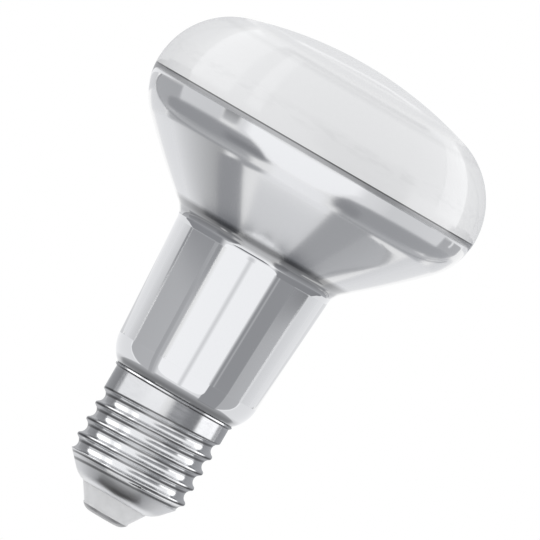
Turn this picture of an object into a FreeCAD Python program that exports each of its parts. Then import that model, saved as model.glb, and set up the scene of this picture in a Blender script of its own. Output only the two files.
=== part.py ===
"""Reflector bulb with a screw cap, in millimetres, +Z from the cap to the face.

The origin is on the axis, at the end face of the centre contact. Every piece is turned about
the axis, apart from the rolled thread and the two lead wires inside the cap.
"""
import FreeCAD, Part
import math
import os

import Sketcher

Vector = FreeCAD.Vector

# Driving sizes: alias, value, what it is. Lengths in millimetres, angles in degrees.
DRIVING_SIZES = [
    ("bulb_radius", 37.5, "widest radius of the glass"),
    ("face_rise", 20.15, "height from the widest radius to the middle of the face"),
    ("face_radius", 84.0, "crown radius of the face"),
    ("shoulder_radius", 14.9, "round from the reflector cone to the widest radius"),
    ("neck_bend", 4.7, "hollow round from the neck to the cone"),
    ("cone_rise", 26.5, "height from the start of the bend to the widest radius"),
    ("neck_length", 31.45, "height from the shell's rim to the start of the bend"),
    ("neck_overhang", 4.53, "how much wider the neck is there than the cap"),
    ("neck_taper", 3.48, "half angle of the neck"),
    ("foot_radius", 8.0, "round at the foot of the neck"),
    ("tube_radius", 2.2, "radius of the sealed exhaust tube"),
    ("tube_length", 3.6, "how far the exhaust tube stands out of the seal"),
    ("tube_point", 1.4, "height of the pointed tip that seals the tube"),
    ("tube_clearance", 2.2, "how far the tip stays above the foot of the centre lead"),
    ("cap_radius", 13.2, "radius over the thread crests and the collar"),
    ("shell_wall", 0.3, "sheet thickness of the cap shell"),
    ("collar_height", 4.25, "how far the wide part inside the shell reaches down from the rim"),
    ("collar_step", 0.9, "height of the slope at its lower end"),
    ("flare_height", 0.65, "height of the flare at the rim"),
    ("rim_flare", 0.5, "how far the rim flares out"),
    ("seat_gap", 0.04, "clearance between the rim and the glass"),
    ("bowl_foot_angle", 59.4, "slope of the bowl's foot from the axis"),
    ("bowl_angle", 42.6, "slope of the bowl's side from the axis"),
    ("bowl_foot_width", 2.2, "how far the foot reaches out from the insulator"),
    ("thread_pitch", 3.629, "pitch of the thread, seven turns to 25.4"),
    ("thread_depth", 1.1, "depth of the thread"),
    ("groove_start", 5.385, "height of the groove's middle at its lower end"),
    ("thread_turns", 5.0, "turns of full groove"),
    ("runout_turns", 0.3, "turns over which the groove runs out"),
    ("runout_gap", 1.47, "height from the start of the run-out to the collar"),
    ("crest_land", 0.5, "height of the flat along the crest"),
    ("knee_depth", 0.75, "depth of the knee in each flank"),
    ("knee_half_width", 1.05, "half the groove's height at the knee"),
    ("root_half_width", 0.45, "half the groove's height at the root"),
    ("insulator_waist", 7.4, "radius of the insulator in the shell's hole"),
    ("insulator_foot", 5.2, "radius of the insulator at the contact"),
    ("insulator_land", 0.5, "height of the straight edge at the contact"),
    ("insulator_shoulder", 4.8, "height where the insulator reaches the shell"),
    ("contact_radius", 5.1, "radius of the centre contact"),
    ("contact_height", 1.0, "thickness of the centre contact"),
    ("contact_flat", 3.0, "radius of the contact's flat end"),
    ("contact_edge_radius", 4.6, "radius where the contact's edge steepens"),
    ("contact_edge_height", 0.5, "height where the contact's edge steepens"),
    ("shank_radius", 1.6, "radius of the contact's shank"),
    ("shank_gap", 0.05, "clearance of the shank in the insulator"),
    ("shank_hole", 0.6, "radius of the hole for the lead"),
    ("shank_top", 7.0, "height of the shank's top"),
    ("dimple_radius", 1.3, "radius of the solder dimple at the end"),
    ("dimple_depth", 0.5, "depth of the solder dimple"),
    ("solder_sink", 0.08, "how far the solder lies inside the contact's end"),
    ("solder_top", 2.2, "height of the solder in the shank"),
    ("cement_length", 9.0, "height of the ring of basing cement"),
    ("cement_wall", 1.2, "thickness of the ring of basing cement"),
    ("lead_radius", 0.35, "radius of the lead wires"),
    ("lead_end", 1.1, "height of the centre lead's end in the solder"),
    ("centre_lead_offset", 4.6, "where the centre lead leaves the seal"),
    ("centre_lead_drop", 3.3, "height over which the centre lead runs in to the axis"),
    ("centre_lead_rise", 1.2, "how far above the shank it reaches the axis"),
    ("side_lead_offset", 6.4, "where the side lead leaves the seal"),
    ("lead_gap", 0.05, "clearance from the side lead's end to the shell"),
]

# Sizes that follow from the driving ones: alias and formula.
FOLLOWING_SIZES = [
    ("end_face", "=0"),
    ("root_radius", "=cap_radius - thread_depth"),
    ("core_radius", "=root_radius - shell_wall"),
    ("seal_radius", "=core_radius - cement_wall"),
    ("thread_top", "=groove_start + thread_turns * thread_pitch"),
    ("collar_inside", "=cap_radius - shell_wall"),
    ("collar_bottom", "=thread_top + runout_gap"),
    ("collar_top", "=collar_bottom + collar_step"),
    ("rim_height", "=collar_bottom + collar_height"),
    ("flare_bottom", "=rim_height - flare_height"),
    ("rim_radius", "=cap_radius + rim_flare"),
    ("rim_inside", "=rim_radius - shell_wall"),
    ("seat_radius", "=rim_inside - seat_gap"),
    ("neck_top_radius", "=cap_radius + neck_overhang"),
    ("neck_top_height", "=rim_height + neck_length"),
    ("widest_height", "=neck_top_height + cone_rise"),
    ("bulb_length", "=widest_height + face_rise"),
    ("face_centre", "=bulb_length - face_radius"),
    ("centre_lead_foot", "=shank_top + centre_lead_rise"),
    ("centre_lead_bend", "=centre_lead_foot + centre_lead_drop"),
    ("tube_tip", "=centre_lead_foot + tube_clearance"),
    ("tube_shoulder", "=tube_tip + tube_point"),
    ("seal_height", "=tube_tip + tube_length"),
    ("foot_rise", "=tan(bowl_foot_angle * 1 deg)"),
    ("side_rise", "=tan(bowl_angle * 1 deg)"),
    ("knee_lean", "=(bowl_foot_angle + bowl_angle) / 2"),
    ("knee_wall", "=shell_wall / cos((bowl_foot_angle - bowl_angle) / 2 * 1 deg)"),
    ("bowl_knee_radius", "=insulator_waist + bowl_foot_width"),
    ("bowl_knee_height", "=insulator_shoulder + bowl_foot_width / foot_rise"),
    ("bowl_top", "=bowl_knee_height + (cap_radius - bowl_knee_radius) / side_rise"),
    ("inner_knee_radius", "=bowl_knee_radius - knee_wall * cos(knee_lean * 1 deg)"),
    ("inner_knee_height", "=bowl_knee_height + knee_wall * sin(knee_lean * 1 deg)"),
    ("inner_hole_height", "=inner_knee_height - (inner_knee_radius - insulator_waist) / foot_rise"),
    ("inner_bowl_top", "=inner_knee_height + (core_radius - inner_knee_radius) / side_rise"),
    ("side_lead_level", "=(inner_bowl_top + seal_height) / 2"),
    ("knee_radius", "=cap_radius - knee_depth"),
    ("groove_over", "=cap_radius + shell_wall"),
    ("groove_half_width", "=(thread_pitch - crest_land) / 2"),
    ("runout_angle", "=atan((thread_depth + shell_wall) / (runout_turns * thread_pitch)) / 1 deg"),
    ("insulator_bore", "=shank_radius + shank_gap"),
    ("insulator_edge", "=contact_height + insulator_land"),
    ("dimple_slope", "=(dimple_radius - shank_hole) / dimple_depth"),
    ("solder_mouth", "=dimple_radius - dimple_slope * solder_sink"),
    ("cement_bottom", "=collar_bottom - cement_length"),
    ("side_lead_end", "=core_radius - lead_gap"),
    ("foot_line_radius", "=neck_top_radius - foot_radius * cos(neck_taper * 1 deg)"),
    ("foot_line_height", "=neck_top_height + foot_radius * sin(neck_taper * 1 deg)"),
    ("seat_across", "=seat_radius - foot_line_radius"),
    ("seat_below", "=foot_line_height - rim_height"),
    ("foot_off", "=seat_across * cos(neck_taper * 1 deg) + seat_below * sin(neck_taper * 1 deg)"),
    ("foot_back", "=seat_below * cos(neck_taper * 1 deg) - seat_across * sin(neck_taper * 1 deg)"),
    ("foot_run", "=foot_back - sqrt(foot_radius ^ 2 - foot_off ^ 2)"),
    ("foot_centre_radius", "=foot_line_radius - foot_run * sin(neck_taper * 1 deg)"),
    ("foot_centre_height", "=foot_line_height - foot_run * cos(neck_taper * 1 deg)"),
    ("foot_drop", "=sqrt(foot_radius ^ 2 - (seal_radius - foot_centre_radius) ^ 2)"),
    ("foot_bottom", "=foot_centre_height - foot_drop"),
]

document = FreeCAD.newDocument("ReflectorBulb")
sheet = document.addObject("Spreadsheet::Sheet", "sizes")


def fill_sheet():
    """Writes one row for each size: its name, its value with the alias, and what it is."""
    for row, (alias, value, note) in enumerate(DRIVING_SIZES, start=1):
        sheet.set("A%d" % row, alias)
        sheet.set("B%d" % row, str(value))
        sheet.set("C%d" % row, note)
        sheet.setAlias("B%d" % row, alias)
    first = len(DRIVING_SIZES) + 1
    for row, (alias, formula) in enumerate(FOLLOWING_SIZES, start=first):
        sheet.set("A%d" % row, alias)
        sheet.set("B%d" % row, formula)
        sheet.setAlias("B%d" % row, alias)
    document.recompute()


def size(alias):
    """A size's present value, for placing geometry that the constraints then hold."""
    return float(sheet.get(alias))


def new_body(name):
    body = document.addObject("PartDesign::Body", name)
    body.Label = name
    body.Placement = FreeCAD.Placement()
    return body


def origin_feature(body, role):
    return next(item for item in body.Origin.OriginFeatures if item.Role == role)


def new_sketch(body, name, role="XZ_Plane"):
    sketch = body.newObject("Sketcher::SketchObject", name)
    sketch.AttachmentSupport = [(origin_feature(body, role), "")]
    sketch.MapMode = "FlatFace"
    return sketch


def revolve(body, sketch, name):
    turned = body.newObject("PartDesign::Revolution", name)
    turned.Profile = sketch
    turned.ReferenceAxis = (sketch, ["V_Axis"])
    turned.Angle = 360
    document.recompute()


class Outline:
    """A chain of lines and arcs in a sketch, with dimensions tied to the sheet.

    Sketch x is the distance from the axis and sketch y is the height. A corner is the pair
    that the sketch knows it by: the number of its line or arc, and which end. The rules are
    kept until the end and given to the sketch together, so that none moves a drawn line.
    """

    def __init__(self, sketch, x, y):
        self.sketch = sketch
        self.at = Vector(x, y, 0)
        self.first = None
        self.corner = None
        self.rules = []
        self.formulas = []

    def line(self, x, y, smooth=False):
        """Draws a line to (x, y) and returns its number."""
        end = Vector(x, y, 0)
        number = self.sketch.addGeometry(Part.LineSegment(self.at, end), False)
        self.join(number, 1, 2, smooth)
        self.at = end
        return number

    def arc(self, x, y, centre_x, centre_y, hollow=False, smooth=True):
        """Draws an arc to (x, y), clockwise where it is hollow, and returns its number."""
        end = Vector(x, y, 0)
        centre = Vector(centre_x, centre_y, 0)
        low, high = (end, self.at) if hollow else (self.at, end)
        begin = math.atan2(low.y - centre_y, low.x - centre_x)
        finish = math.atan2(high.y - centre_y, high.x - centre_x)
        if finish <= begin:
            finish += 2 * math.pi
        circle = Part.Circle(centre, Vector(0, 0, 1), (self.at - centre).Length)
        number = self.sketch.addGeometry(Part.ArcOfCircle(circle, begin, finish), False)
        ends = (2, 1) if hollow else (1, 2)
        self.join(number, *ends, smooth)
        self.at = end
        return number

    def join(self, number, begin, finish, smooth):
        """Joins the start of a new line or arc to the last corner, tangent where smooth."""
        if self.first is None:
            self.first = (number, begin)
        else:
            self.rule("Tangent" if smooth else "Coincident", *self.corner, number, begin)
        self.corner = (number, finish)

    def close(self):
        """Joins the last corner to the first and gives the sketch its rules."""
        self.rule("Coincident", *self.corner, *self.first)
        self.finish()

    def finish(self):
        """Gives the sketch its rules, and ties its dimensions to the sheet."""
        self.sketch.addConstraint(self.rules)
        for number, formula in self.formulas:
            self.sketch.setExpression("Constraints[%d]" % number, formula)

    def rule(self, kind, *where):
        self.rules.append(Sketcher.Constraint(kind, *where))

    def bind(self, kind, where, formula):
        """Adds a dimension that follows a formula of the sheet."""
        self.formulas.append((len(self.rules), formula))
        self.rule(kind, *where, float(self.sketch.evalExpression(formula)))

    def place(self, corner, across=None, height=None):
        """Ties a corner's distance from the axis, its height, or both, to sizes."""
        if across:
            self.bind("DistanceX", (-1, 1, *corner), "sizes." + across)
        if height:
            self.bind("DistanceY", (-1, 1, *corner), "sizes." + height)

    def radius(self, number, alias):
        self.bind("Radius", (number,), "sizes." + alias)

    def on_axis(self, corner):
        self.rule("PointOnObject", *corner, -2)

    def level(self, number):
        self.rule("Horizontal", number)

    def upright(self, number):
        self.rule("Vertical", number)

    def corner_to(self, across, height):
        """Draws a line to the corner that two sizes place. Without the first it is on the axis."""
        number = self.line(size(across) if across else 0, size(height))
        self.place(self.corner, across, height)
        if not across:
            self.on_axis(self.corner)
        return number


def slope_normal(degrees):
    """The outward normal of a wall that leans out by an angle as it rises."""
    angle = math.radians(degrees)
    return Vector(math.cos(angle), -math.sin(angle), 0)


def add_glass_bulb():
    """The sealed envelope: exhaust tube, neck, reflector cone and face, blown in one piece."""
    body = new_body("glass_bulb")
    sketch = new_sketch(body, "glass_outline")
    taper = slope_normal(size("neck_taper"))
    neck_top = Vector(size("neck_top_radius"), size("neck_top_height"), 0)
    bend_radius = size("neck_bend")
    bend_centre = neck_top + taper * bend_radius
    shoulder_radius = size("shoulder_radius")
    bulb_radius = size("bulb_radius")
    shoulder_centre = Vector(bulb_radius - shoulder_radius, size("widest_height"), 0)
    span = shoulder_centre - bend_centre
    lean = math.atan2(span.x, span.y) + math.asin((bend_radius + shoulder_radius) / span.Length)
    cone_normal = slope_normal(math.degrees(lean))
    bend_end = bend_centre - cone_normal * bend_radius
    cone_end = shoulder_centre + cone_normal * shoulder_radius
    face_centre = Vector(0, size("face_centre"), 0)
    lift = size("widest_height") - face_centre.y
    face_radius = size("face_radius")
    knuckle = (face_radius**2 - bulb_radius**2 - lift**2) / (2 * (face_radius - bulb_radius))
    knuckle_centre = Vector(bulb_radius - knuckle, size("widest_height"), 0)
    knuckle_end = knuckle_centre + (knuckle_centre - face_centre).normalize() * knuckle

    outline = Outline(sketch, 0, size("tube_tip"))
    outline.corner_to("tube_radius", "tube_shoulder")
    outline.on_axis(outline.first)
    outline.place(outline.first, height="tube_tip")
    outline.corner_to("tube_radius", "seal_height")
    outline.corner_to("seal_radius", "seal_height")
    seal = outline.line(size("seal_radius"), size("foot_bottom"))
    outline.upright(seal)
    foot_centre = Vector(size("foot_centre_radius"), size("foot_centre_height"), 0)
    neck_bottom = foot_centre + taper * size("foot_radius")
    foot = outline.arc(neck_bottom.x, neck_bottom.y, foot_centre.x, foot_centre.y, smooth=False)
    outline.radius(foot, "foot_radius")
    seat = Vector(size("seat_radius"), size("rim_height"), 0)
    seat_point = sketch.addGeometry(Part.Point(seat), True)
    outline.place((seat_point, 1), "seat_radius", "rim_height")
    outline.rule("PointOnObject", seat_point, 1, foot)
    neck = outline.line(neck_top.x, neck_top.y, smooth=True)
    outline.bind("Angle", (neck,), "(90 - sizes.neck_taper) * 1 deg")
    outline.place(outline.corner, "neck_top_radius", "neck_top_height")
    bend = outline.arc(bend_end.x, bend_end.y, bend_centre.x, bend_centre.y, hollow=True)
    outline.radius(bend, "neck_bend")
    outline.line(cone_end.x, cone_end.y, smooth=True)
    shoulder = outline.arc(bulb_radius, size("widest_height"), shoulder_centre.x, shoulder_centre.y)
    outline.radius(shoulder, "shoulder_radius")
    outline.place((shoulder, 3), height="widest_height")
    outline.place(outline.corner, "bulb_radius", "widest_height")
    outline.arc(knuckle_end.x, knuckle_end.y, knuckle_centre.x, knuckle_centre.y)
    face = outline.arc(0, size("bulb_length"), 0, face_centre.y)
    outline.on_axis((face, 3))
    outline.on_axis(outline.corner)
    outline.radius(face, "face_radius")
    outline.place(outline.corner, height="bulb_length")
    outline.line(0, size("tube_tip"))
    outline.close()
    revolve(body, sketch, "glass_turned")


def add_turned_piece(name, corners):
    """A body turned about the axis from straight lines between corners that sizes place."""
    body = new_body(name)
    sketch = new_sketch(body, name + "_outline")
    across, height = corners[0]
    outline = Outline(sketch, size(across) if across else 0, size(height))
    for across, height in corners[1:] + corners[:1]:
        outline.corner_to(across, height)
    outline.close()
    revolve(body, sketch, name + "_turned")
    return body


def add_cap_shell():
    """The rolled screw shell: bowl, thread, collar and flared rim."""
    corners = [
        ("insulator_waist", "insulator_shoulder"),
        ("bowl_knee_radius", "bowl_knee_height"),
        ("cap_radius", "bowl_top"),
        ("cap_radius", "flare_bottom"),
        ("rim_radius", "rim_height"),
        ("rim_inside", "rim_height"),
        ("collar_inside", "flare_bottom"),
        ("collar_inside", "collar_top"),
        ("core_radius", "collar_bottom"),
        ("core_radius", "inner_bowl_top"),
        ("inner_knee_radius", "inner_knee_height"),
        ("insulator_waist", "inner_hole_height"),
    ]
    body = add_turned_piece("cap_shell", corners)
    add_thread(body)


def groove_sketch(body, name, middle):
    """The section of the thread's groove, open towards the outside, at a height of the sheet."""
    sketch = new_sketch(body, name)
    height = size(middle)
    corners = [
        ("groove_over", "groove_half_width"),
        ("cap_radius", "groove_half_width"),
        ("knee_radius", "knee_half_width"),
        ("root_radius", "root_half_width"),
    ]
    mirrored = [(across, half, -1) for across, half in corners]
    mirrored += [(across, half, 1) for across, half in reversed(corners)]
    across, half, side = mirrored[0]
    outline = Outline(sketch, size(across), height + side * size(half))
    for across, half, side in mirrored[1:] + mirrored[:1]:
        outline.line(size(across), height + side * size(half))
        outline.place(outline.corner, across=across)
        sign = "+" if side > 0 else "-"
        formula = "sizes.%s %s sizes.%s" % (middle, sign, half)
        outline.bind("DistanceY", (-1, 1, *outline.corner), formula)
    outline.close()
    return sketch


def add_thread(body):
    """The round thread: a helical groove that runs out behind into the collar."""
    full = body.newObject("PartDesign::SubtractiveHelix", "thread_groove")
    full.Profile = groove_sketch(body, "groove_section", "groove_start")
    full.ReferenceAxis = (origin_feature(body, "Z_Axis"), [""])
    full.Mode = 1
    full.setExpression("Pitch", "sizes.thread_pitch")
    full.setExpression("Turns", "sizes.thread_turns")
    document.recompute()
    runout = body.newObject("PartDesign::SubtractiveHelix", "thread_runout")
    runout.Profile = groove_sketch(body, "runout_section", "thread_top")
    runout.ReferenceAxis = (origin_feature(body, "Z_Axis"), [""])
    runout.Mode = 1
    runout.setExpression("Pitch", "sizes.thread_pitch")
    runout.setExpression("Turns", "sizes.runout_turns")
    runout.setExpression("Angle", "sizes.runout_angle")
    document.recompute()


def add_cap_insulator():
    """The insulator that fills the shell's hole and carries the centre contact."""
    corners = [
        ("insulator_bore", "contact_height"),
        ("insulator_foot", "contact_height"),
        ("insulator_foot", "insulator_edge"),
        ("insulator_waist", "insulator_shoulder"),
        ("insulator_waist", "inner_hole_height"),
        ("inner_knee_radius", "inner_knee_height"),
        ("insulator_bore", "inner_knee_height"),
    ]
    add_turned_piece("cap_insulator", corners)


def add_centre_contact():
    """The contact: a dished disc with a hollow shank for the lead."""
    corners = [
        ("shank_hole", "dimple_depth"),
        ("dimple_radius", "end_face"),
        ("contact_flat", "end_face"),
        ("contact_edge_radius", "contact_edge_height"),
        ("contact_radius", "contact_height"),
        ("shank_radius", "contact_height"),
        ("shank_radius", "shank_top"),
        ("shank_hole", "shank_top"),
    ]
    add_turned_piece("centre_contact", corners)


def add_contact_solder():
    """The solder that fills the contact's dimple and holds the centre lead."""
    corners = [
        (None, "solder_sink"),
        ("solder_mouth", "solder_sink"),
        ("shank_hole", "dimple_depth"),
        ("shank_hole", "solder_top"),
        ("lead_radius", "solder_top"),
        ("lead_radius", "lead_end"),
        (None, "lead_end"),
    ]
    add_turned_piece("contact_solder", corners)


def add_basing_cement():
    """The ring of cement that holds the glass in the cap."""
    corners = [
        ("seal_radius", "cement_bottom"),
        ("core_radius", "cement_bottom"),
        ("core_radius", "collar_bottom"),
        ("seal_radius", "collar_bottom"),
    ]
    add_turned_piece("basing_cement", corners)


def add_lead(name, role, corners):
    """A round wire along straight runs between sized corners, down from the seal.

    The path lies in one upright plane through the axis, and the runs meet in mitres.
    """
    body = new_body(name)
    offset, top = corners[0]
    path = Outline(new_sketch(body, name + "_path", role), size(offset), size(top))
    for across, height in corners[1:]:
        path.corner_to(across, height)
    path.place(path.first, offset, top)
    path.finish()

    in_front = role == "XZ_Plane"
    section = new_sketch(body, name + "_section", "XY_Plane")
    section.setExpression("AttachmentOffset.Base.z", "sizes." + top)
    middle = Vector(size(offset), 0, 0) if in_front else Vector(0, size(offset), 0)
    circle = section.addGeometry(Part.Circle(middle, Vector(0, 0, 1), size("lead_radius")), False)
    draft = Outline(section, 0, 0)
    draft.radius(circle, "lead_radius")
    draft.bind("DistanceX" if in_front else "DistanceY", (-1, 1, circle, 3), "sizes." + offset)
    draft.rule("PointOnObject", circle, 3, -1 if in_front else -2)
    draft.finish()

    wire = body.newObject("PartDesign::AdditivePipe", name + "_swept")
    wire.Profile = section
    wire.Spine = path.sketch
    wire.Transition = "Right corner"
    document.recompute()


def add_leads():
    """The two leads: one to the contact through its shank, one to the shell's wall."""
    centre_corners = [
        ("centre_lead_offset", "seal_height"),
        ("centre_lead_offset", "centre_lead_bend"),
        (None, "centre_lead_foot"),
        (None, "lead_end"),
    ]
    add_lead("centre_lead", "XZ_Plane", centre_corners)
    side_corners = [
        ("side_lead_offset", "seal_height"),
        ("side_lead_offset", "side_lead_level"),
        ("side_lead_end", "side_lead_level"),
    ]
    add_lead("side_lead", "YZ_Plane", side_corners)


def export_pieces():
    """Checks every feature and writes each body to a file of its own."""
    document.recompute()
    for item in document.Objects:
        if "Invalid" in item.State or "Error" in item.State:
            raise RuntimeError("%s did not compute" % item.Label)
        if item.TypeId == "Sketcher::SketchObject" and not item.FullyConstrained:
            raise RuntimeError("%s is not fully constrained" % item.Label)
    bodies = [item for item in document.Objects if item.TypeId == "PartDesign::Body"]
    for body in bodies:
        if body.Shape.isNull() or not body.Shape.isValid():
            raise RuntimeError("%s has no sound shape" % body.Label)
    os.makedirs("parts", exist_ok=True)
    for body in bodies:
        body.Shape.exportStep("parts/%s.step" % body.Label)


def main():
    fill_sheet()
    add_glass_bulb()
    add_cap_shell()
    add_cap_insulator()
    add_centre_contact()
    add_contact_solder()
    add_basing_cement()
    add_leads()
    export_pieces()


main()
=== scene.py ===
"""Looks of a reflector bulb: mirrored glass with a satin face, on a rolled screw cap."""
import math

import bpy
from mathutils import Matrix, Vector


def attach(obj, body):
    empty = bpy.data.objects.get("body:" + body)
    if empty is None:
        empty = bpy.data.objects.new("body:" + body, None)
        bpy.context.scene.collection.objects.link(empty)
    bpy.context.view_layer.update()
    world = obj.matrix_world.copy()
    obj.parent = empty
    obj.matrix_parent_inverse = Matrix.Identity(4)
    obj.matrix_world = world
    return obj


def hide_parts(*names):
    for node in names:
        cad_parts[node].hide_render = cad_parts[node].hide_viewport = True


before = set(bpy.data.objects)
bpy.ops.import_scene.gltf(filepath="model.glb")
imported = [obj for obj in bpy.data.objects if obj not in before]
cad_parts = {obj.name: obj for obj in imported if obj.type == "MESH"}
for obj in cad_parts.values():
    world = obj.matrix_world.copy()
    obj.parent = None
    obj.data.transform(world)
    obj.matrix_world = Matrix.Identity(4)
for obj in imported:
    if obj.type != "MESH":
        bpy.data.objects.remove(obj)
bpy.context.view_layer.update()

bl_info = {
    "name": "Reflector bulb",
    "version": (1, 0, 0),
    "blender": (4, 5, 0),
    "location": "3D View > Sidebar > Lamp",
    "description": "Builds a reflector bulb with its screw cap and a plain studio",
    "category": "Object",
}

MM = 0.001


def length(name, value, description):
    """A length in millimetres that a user can change."""
    return bpy.props.FloatProperty(
        name=name, default=value * MM, description=description, unit="LENGTH"
    )


def amount(name, value, description, low=0.0, high=10.0):
    """A plain number that a user can change."""
    return bpy.props.FloatProperty(
        name=name, default=value, min=low, max=high, description=description
    )


def angle(name, degrees, description):
    """An angle that a user can change."""
    return bpy.props.FloatProperty(
        name=name, default=math.radians(degrees), description=description, subtype="ANGLE"
    )


def colour(name, value, description):
    """A colour that a user can change."""
    limits = {"size": 3, "min": 0.0, "max": 1.0}
    return bpy.props.FloatVectorProperty(
        name=name, default=value, subtype="COLOR", description=description, **limits
    )


class GlassSizes(bpy.types.PropertyGroup):
    """Sizes of the blown glass."""

    bulb_length: length("Length", 107.35, "End of the contact to the middle of the face")
    bulb_radius: length("Widest radius", 37.5, "Radius at the widest place")
    widest_height: length("Widest height", 87.0, "Height of the widest place")
    face_radius: length("Face radius", 84.0, "Crown radius of the face")
    shoulder_radius: length("Shoulder radius", 14.6, "Round from the cone to the widest place")
    cone_bow: length("Cone bow", 175.0, "Radius of the slight outward bow of the cone")
    neck_bend: length("Neck bend", 5.0, "Hollow round from the neck to the cone")
    neck_top_radius: length("Neck top radius", 17.73, "Neck radius where the bend starts")
    neck_top_height: length("Neck top height", 60.75, "Height where the bend starts")
    neck_taper: angle("Neck taper", 3.48, "Half angle of the neck")
    foot_radius: length("Foot radius", 8.0, "Round at the foot of the neck")
    foot_centre_radius: length("Foot centre radius", 8.17, "Where the foot's round is centred")
    foot_centre_height: length("Foot centre height", 35.338, "Where the foot's round is centred")
    seal_radius: length("Seal radius", 10.6, "Radius inside the cap")
    seal_height: length("Seal height", 14.0, "Height of the closed end of the neck")
    tube_radius: length("Tube radius", 2.2, "Radius of the sealed exhaust tube")
    tube_tip: length("Tube tip", 10.4, "Height of the exhaust tube's tip")
    coat_height: length("Coat height", 86.44, "Height where the mirror coat ends")


class CapSizes(bpy.types.PropertyGroup):
    """Sizes of the screw cap, the insulator and the contact."""

    cap_radius: length("Crest radius", 13.2, "Radius over the thread crests and the collar")
    shell_wall: length("Wall", 0.3, "Sheet thickness of the shell")
    core_radius: length("Core radius", 11.8, "Radius inside the thread")
    rim_height: length("Rim height", 29.25, "Height of the shell's rim")
    rim_flare: length("Rim flare", 0.5, "How far the rim flares out")
    flare_height: length("Flare height", 0.65, "Height of the flare at the rim")
    collar_bottom: length("Collar bottom", 25.0, "Height where the inside starts to widen")
    bowl_round: length("Bowl round", 6.0, "Round of the bowl towards the insulator")
    bowl_centre_radius: length("Bowl centre radius", 5.65, "Where the bowl's round is centred")
    bowl_centre_height: length("Bowl centre height", 10.6, "Where the bowl's round is centred")
    thread_pitch: length("Pitch", 3.629, "Pitch of the thread")
    thread_depth: length("Depth", 1.1, "Depth of the thread")
    thread_start: length("Start", 9.016, "Height of a groove's middle on the +X side")
    thread_turns: amount("Turns", 4.0, "Turns from there to where the groove runs out", 1, 8)
    crest_round: length("Crest round", 0.5, "Round of the crests")
    waist_radius: length("Waist radius", 7.4, "Radius of the insulator in the shell's hole")
    insulator_foot: length("Insulator foot", 5.2, "Radius of the insulator at the contact")
    contact_radius: length("Contact radius", 5.1, "Radius of the centre contact")
    contact_height: length("Contact height", 1.0, "Thickness of the centre contact")


class Finishes(bpy.types.PropertyGroup):
    """Colours of the pieces."""

    mirror: colour("Mirror coat", (0.72, 0.725, 0.735), "Colour of the mirror coat")
    satin: colour("Satin face", (0.75, 0.755, 0.765), "Colour of the satin face")
    coat_edge: colour("Coat edge", (0.10, 0.10, 0.105), "Colour of the line where the coat ends")
    cap: colour("Cap metal", (0.74, 0.745, 0.755), "Colour of the rolled shell")
    insulator: colour("Insulator", (0.66, 0.665, 0.675), "Colour of the insulator")
    contact: colour("Contact", (0.40, 0.40, 0.405), "Colour of the centre contact")
    solder: colour("Solder", (0.46, 0.46, 0.47), "Colour of the solder")
    cement: colour("Cement", (0.52, 0.48, 0.40), "Colour of the basing cement")
    lead: colour("Lead wire", (0.56, 0.54, 0.50), "Colour of the lead wires")


class Studio(bpy.types.PropertyGroup):
    """Camera, floor and light."""

    camera_distance: length("Camera distance", 3500.0, "From the lamp's axis to the camera")
    view_width: length("View width", 110.474, "Width of the picture at the lamp")
    roll: angle("Roll", 30.17, "How far the lamp leans in the picture")
    aim_across: length("Aim across", 4.11, "Middle of the picture, to the right of the axis")
    aim_height: length("Aim height", 61.13, "Middle of the picture, as a height on the axis")
    floor_height: length("Floor height", -35.0, "Height of the floor")
    room_level: amount("Room level", 0.96, "Level of the plain light from all round")
    card_distance: length("Card distance", 1500.0, "From the lamp to the reflection cards")


def sizes_of(group):
    """One of the scene's property groups, with the values that the user left in it."""
    return getattr(bpy.context.scene, group)


def point(x, z):
    """A place or a direction in the XZ plane, where the outlines are drawn."""
    return Vector((x, 0, z))


def lean(vector):
    """How far a direction in the XZ plane leans from the axis towards +X."""
    return math.atan2(vector.x, vector.z)


def outward(slope):
    """The outward normal of a wall that leans out by an angle as it rises."""
    return point(math.cos(slope), -math.sin(slope))


def under_round(centre, size, x):
    """Where the lower side of a round is at a distance from the axis."""
    return point(x, centre.z - math.sqrt(size**2 - (x - centre.x) ** 2))


class Profile:
    """Half an outline in the XZ plane, drawn by extruding and spinning one vertex."""

    def __init__(self, name, x, z):
        bpy.ops.object.select_all(action="DESELECT")
        bpy.ops.mesh.primitive_circle_add(vertices=3, radius=MM)
        self.piece = bpy.context.object
        self.piece.name = name
        self.piece.data.name = name
        bpy.ops.object.mode_set(mode="EDIT")
        bpy.ops.mesh.merge(type="CENTER")
        bpy.ops.transform.translate(value=(x, 0, z))
        self.at = point(x, z)

    def line(self, x, z, steps=1):
        """Goes straight to a point in equal steps."""
        step = (point(x, z) - self.at) / steps
        for _ in range(steps):
            bpy.ops.mesh.extrude_region_move(TRANSFORM_OT_translate={"value": step})
        self.at = point(x, z)

    def lines(self, *corners, unit=1.0):
        """Goes from corner to corner, each an x, a z and, if it isn't one step, its steps."""
        for x, z, *steps in corners:
            self.line(x * unit, z * unit, *steps)

    def arc(self, centre, turn, steps):
        """Goes round a centre by an angle, anticlockwise as seen from the front."""
        bpy.ops.mesh.spin(steps=steps, angle=turn, center=centre, axis=(0, 1, 0))
        self.at = centre + Matrix.Rotation(-turn, 3, "Y") @ (self.at - centre)

    def turn_about_axis(self, segments, smooth=30.0):
        """Spins the outline round the lamp's axis and closes its seam and poles."""
        bpy.ops.mesh.select_all(action="SELECT")
        bpy.ops.mesh.spin(steps=segments, angle=2 * math.pi, center=(0, 0, 0), axis=(0, 0, 1))
        bpy.ops.mesh.select_all(action="SELECT")
        bpy.ops.mesh.remove_doubles(threshold=0.002 * MM)
        bpy.ops.mesh.normals_make_consistent(inside=False)
        bpy.ops.object.mode_set(mode="OBJECT")
        bpy.ops.object.shade_smooth_by_angle(angle=math.radians(smooth))
        return self.piece


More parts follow.
